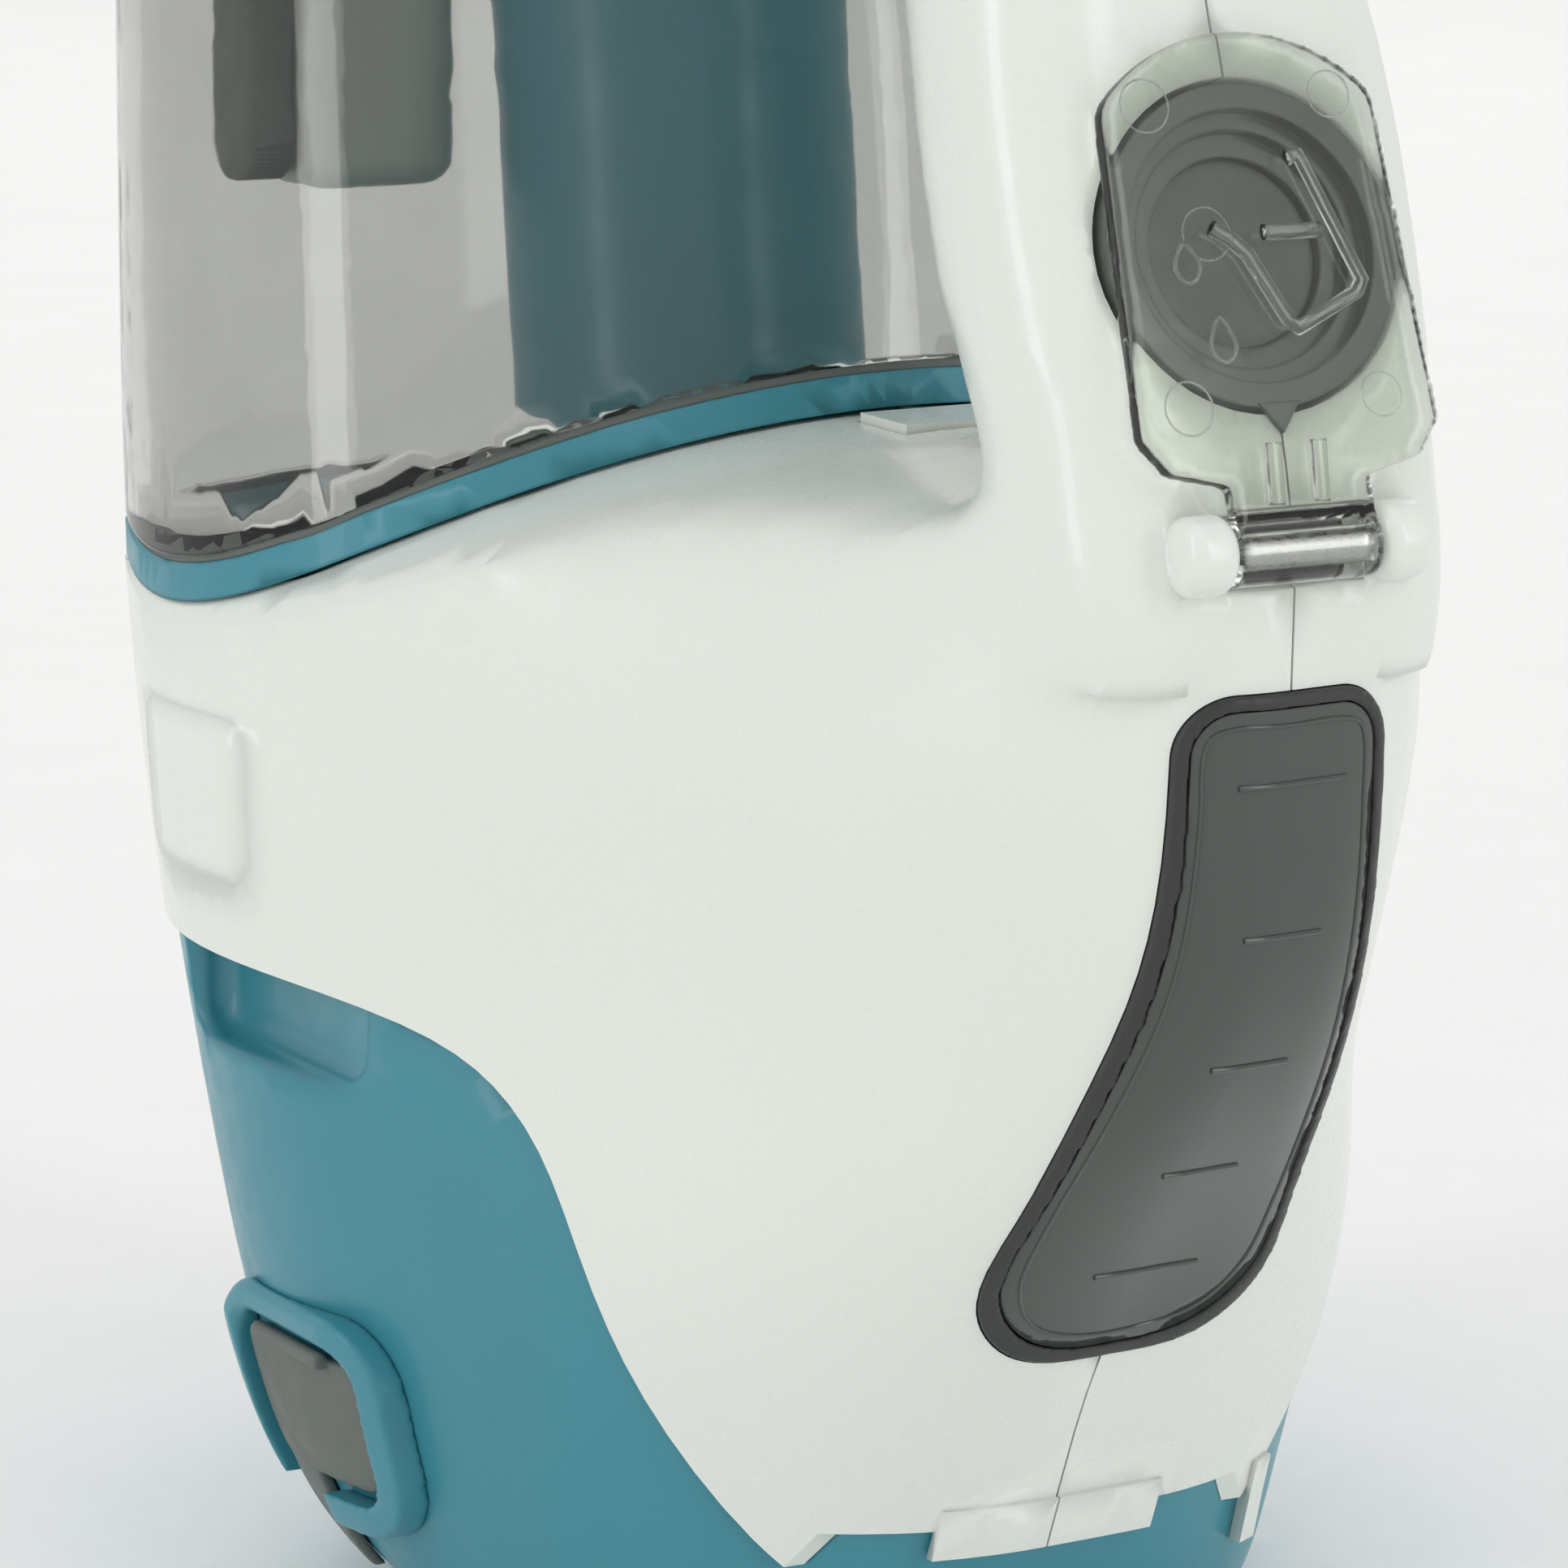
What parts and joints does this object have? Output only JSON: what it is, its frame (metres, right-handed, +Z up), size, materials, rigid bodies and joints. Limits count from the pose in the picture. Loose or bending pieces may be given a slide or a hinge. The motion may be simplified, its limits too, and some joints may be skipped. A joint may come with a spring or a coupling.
{
  "type": "handheld vacuum",
  "caption": "Cordless wet handheld vacuum standing on its foot, with clear dirty-water tank, loop handle, powered brush nozzle and built-in clean-water tank with fill cap.",
  "frame": {"origin": "middle of the foot's flat underside", "axes": "+Z up towards the nozzle, -Y front (tank side), +Y back (handle side), +X the side with the charging port"},
  "size_m": [0.119, 0.1873, 0.3661],
  "materials": {
    "white_shell": "glossy white ABS",
    "teal_shell": "satin teal ABS",
    "smoked_clear": "clear smoked plastic",
    "cover_clear": "clear plastic with a slight green-grey tint",
    "cap_smoked": "dark smoked plastic",
    "tank_smoked": "dark smoked plastic",
    "black_rubber": "matte black rubber",
    "grey_rubber": "matte grey rubber",
    "pale_plastic": "matte pale grey-green",
    "dark_plastic": "matte black plastic",
    "steel": "zinc plated",
    "bristle": "nylon filament",
    "cell_wrap": "shrink wrap",
    "pcb": "solder mask",
    "light": "translucent light pipe"
  },
  "bodies": {
    "body": {"shell_left": "white_shell", "shell_right": "white_shell", "base_tub": "teal_shell", "foot_pads": "grey_rubber", "port_guard": "teal_shell", "charge_socket": "dark_plastic", "shell_screws": "steel", "base_screws": "steel", "water_tank": "tank_smoked", "window_bezel": "black_rubber", "filler_neck": "dark_plastic", "cover_pin": "steel", "grip_strip": "white_shell", "trigger_spring": "steel", "trigger_switch": "dark_plastic", "power_switch": "dark_plastic", "status_light": "light", "catch_spring": "steel", "nozzle": "smoked_clear", "nozzle_lip": "grey_rubber", "suction_divider": "pale_plastic", "brush_bushings": "pale_plastic", "drive_wall": "pale_plastic", "drive_belt": "black_rubber", "brush_motor": "steel", "spray_nozzle": "dark_plastic", "suction_motor": "steel", "fan_scroll": "dark_plastic", "motor_seal": "grey_rubber", "battery_cells": "cell_wrap", "cell_holder": "dark_plastic", "circuit_board": "pcb", "water_pump": "dark_plastic", "water_hose": "pale_plastic", "level_window": "tank_smoked"},
    "dirty_tank": {"tank_rim": "teal_shell", "tank_gasket": "grey_rubber", "tank_shell": "smoked_clear", "inlet_seal": "grey_rubber", "separator_box": "pale_plastic", "separator_flap": "grey_rubber", "float_cage": "teal_shell"},
    "float": {"float_valve": "dark_plastic"},
    "cap": {"fill_cap": "cap_smoked"},
    "cover": {"flip_cover": "cover_clear"},
    "port_flap": {"charge_port_cover": "grey_rubber"},
    "trigger": {"spray_trigger": "teal_shell"},
    "button": {"power_button": "teal_shell"},
    "catch": {"tank_catch": "white_shell"},
    "rotor": {"impeller": "dark_plastic"},
    "brush": {"brush_core": "dark_plastic", "brush_bristles": "bristle", "brush_pulley": "dark_plastic"},
    "drive": {"motor_pulley": "dark_plastic"}
  },
  "joints": [
    {"name": "tank_slide", "type": "slide", "parent": "body", "child": "dirty_tank", "axis": [0, -1, 0], "range_m": [0, 0.12]},
    {"name": "float_lift", "type": "slide", "parent": "dirty_tank", "child": "float", "axis": [0, -0.1219, 0.9925], "range_m": [0, 0.0025]},
    {"name": "cap_turn", "type": "hinge", "parent": "body", "child": "cap", "pos_m": [0, 0.086, 0.142], "axis": [0, 0.9426, 0.3338], "range_deg": [0, 90]},
    {"name": "cover_hinge", "type": "hinge", "parent": "body", "child": "cover", "pos_m": [0, 0.09577, 0.11682], "axis": [-1, 0, 0], "range_deg": [0, 125]},
    {"name": "port_flap_hinge", "type": "hinge", "parent": "body", "child": "port_flap", "pos_m": [0.0536, 0, 0.0283], "axis": [0, -1, 0], "range_deg": [0, 90]},
    {"name": "trigger_press", "type": "slide", "parent": "body", "child": "trigger", "axis": [0, 0.9659, 0.2588], "range_m": [0, 0.003], "stiffness_N_per_m": 600, "deforming": ["trigger_spring"]},
    {"name": "power_press", "type": "slide", "parent": "body", "child": "button", "axis": [0, -0.9483, -0.3173], "range_m": [0, 0.0012], "stiffness_N_per_m": 800},
    {"name": "catch_press", "type": "slide", "parent": "body", "child": "catch", "axis": [0, 0, -1], "range_m": [0, 0.0025], "stiffness_N_per_m": 500, "deforming": ["catch_spring"]},
    {"name": "rotor_spin", "type": "hinge", "parent": "body", "child": "rotor", "pos_m": [0, -0.016, 0.07], "axis": [0, 0, 1], "continuous": true},
    {"name": "brush_spin", "type": "hinge", "parent": "body", "child": "brush", "pos_m": [0, -0.057, 0.3386], "axis": [1, 0, 0], "continuous": true},
    {"name": "drive_spin", "type": "hinge", "parent": "body", "child": "drive", "pos_m": [0, -0.04, 0.292], "axis": [1, 0, 0], "continuous": true}
  ],
  "couplings": [
    {"joint": "drive_spin", "follows": "brush_spin", "ratio": 1.4}
  ]
}
